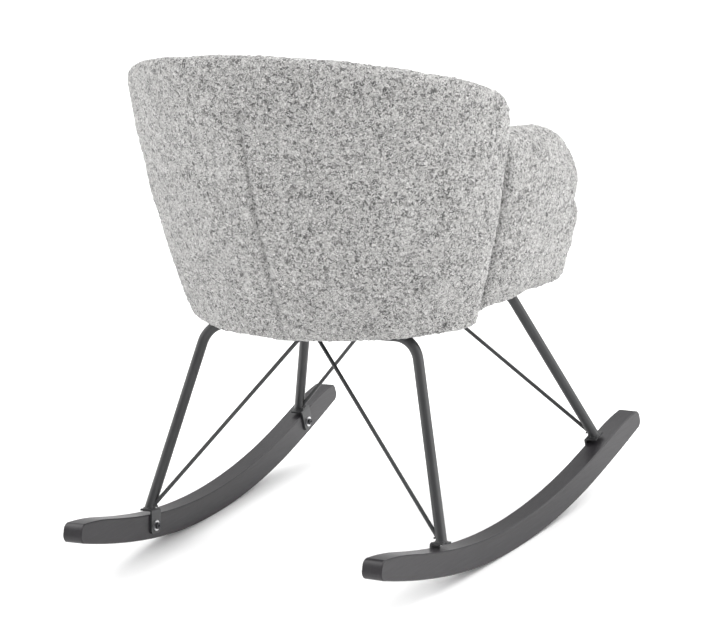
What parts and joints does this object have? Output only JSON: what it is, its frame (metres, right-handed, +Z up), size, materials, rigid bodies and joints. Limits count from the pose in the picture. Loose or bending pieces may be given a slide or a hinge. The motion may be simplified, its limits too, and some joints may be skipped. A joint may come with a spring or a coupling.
{
  "type": "rocking chair",
  "caption": "Low tub armchair in looped fabric on bent tube leg frames with wire stays, standing on curved wooden rockers.",
  "frame": {"origin": "on the floor, midway between the two rockers and midway between their tips", "axes": "+Z up; -Y the way the sitter faces, so +Y runs from the front to the back; +X to the sitter's left"},
  "size_m": [0.6184, 0.7996, 0.7617],
  "materials": {
    "boucle": "matte",
    "dust_cloth": "matte",
    "plywood": "matte",
    "black_wood": "satin",
    "frame_paint": "satin",
    "black_screw": "satin",
    "zinc": "satin"
  },
  "bodies": {
    "root": {"outer_back_pad": "boucle", "inner_back_pad": "boucle", "left_arm_pad": "boucle", "right_arm_pad": "boucle", "seat_cushion": "boucle", "dust_cover": "dust_cloth", "seat_board": "plywood", "back_shell": "plywood", "left_arm_board": "plywood", "right_arm_board": "plywood", "left_rocker": "black_wood", "right_rocker": "black_wood", "rear_leg_frame": "frame_paint", "front_leg_frame": "frame_paint", "rear_saddle_plates": "frame_paint", "front_saddle_plates": "frame_paint", "rear_left_stay": "frame_paint", "rear_right_stay": "frame_paint", "front_left_stay": "frame_paint", "front_right_stay": "frame_paint", "rear_left_bracket": "frame_paint", "rear_right_bracket": "frame_paint", "front_left_bracket": "frame_paint", "front_right_bracket": "frame_paint", "foot_bolts": "black_screw", "seat_bolts": "black_screw", "foot_washers": "zinc", "rocker_inserts": "zinc", "seat_washers": "zinc", "tee_nuts": "zinc"}
  },
  "joints": []
}
